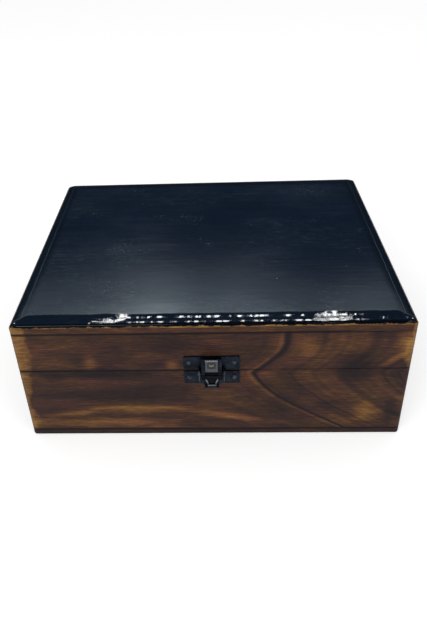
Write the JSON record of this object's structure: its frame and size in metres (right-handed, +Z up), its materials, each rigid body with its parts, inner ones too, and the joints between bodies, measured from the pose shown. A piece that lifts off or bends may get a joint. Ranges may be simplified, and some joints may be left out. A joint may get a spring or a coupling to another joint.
{
  "type": "hinged wooden box",
  "caption": "Low rectangular wooden keepsake box in dark stained boards, with a thick gloss-coated hinged lid, butt hinges at the back and a small toggle latch at the front.",
  "frame": {"origin": "middle of the underside, on the surface that the box stands on", "axes": "+X along the width, to the right as seen from the latch side; +Y from the latch to the hinges; +Z up"},
  "size_m": [0.203, 0.1618, 0.08],
  "materials": {
    "stained_wood": "dark stained and scorched softwood boards, satin, worn golden at the edges",
    "gloss_coat": "thick poured dark navy coat, high gloss, with brush streaks and dust specks",
    "dark_metal": "blackened steel, worn brighter on raised edges"
  },
  "bodies": {
    "base": {"base_bottom_board": "stained_wood", "base_front_board": "stained_wood", "base_back_board": "stained_wood", "base_left_board": "stained_wood", "base_right_board": "stained_wood", "left_hinge_base_leaf": "dark_metal", "right_hinge_base_leaf": "dark_metal", "left_hinge_pin": "dark_metal", "right_hinge_pin": "dark_metal", "hinge_base_nails": "dark_metal", "latch_base_plate": "dark_metal", "latch_base_nails": "dark_metal", "latch_lever_rivets": "dark_metal"},
    "lid": {"lid_top_board": "stained_wood", "lid_gloss_coat": "gloss_coat", "lid_front_board": "stained_wood", "lid_back_board": "stained_wood", "lid_left_board": "stained_wood", "lid_right_board": "stained_wood", "left_hinge_lid_leaf": "dark_metal", "right_hinge_lid_leaf": "dark_metal", "hinge_lid_nails": "dark_metal", "latch_strike": "dark_metal", "latch_strike_nails": "dark_metal"},
    "latch_lever": {"latch_lever": "dark_metal", "latch_loop_pin": "dark_metal"},
    "latch_loop": {"latch_loop": "dark_metal"}
  },
  "joints": [
    {"name": "lid_hinge", "type": "hinge", "parent": "base", "child": "lid", "pos_m": [0, 0.07795, 0.0488], "axis": [-1, 0, 0], "range_deg": [0, 180]},
    {"name": "latch_lever_pivot", "type": "hinge", "parent": "base", "child": "latch_lever", "pos_m": [0, -0.07855, 0.0495], "axis": [-1, 0, 0], "range_deg": [0, 95]},
    {"name": "latch_loop_pivot", "type": "hinge", "parent": "latch_lever", "child": "latch_loop", "pos_m": [0, -0.07855, 0.047], "axis": [-1, 0, 0], "range_deg": [-80, 0]}
  ],
  "couplings": [
    {"joint": "latch_loop_pivot", "follows": "latch_lever_pivot", "ratio": -0.83}
  ]
}
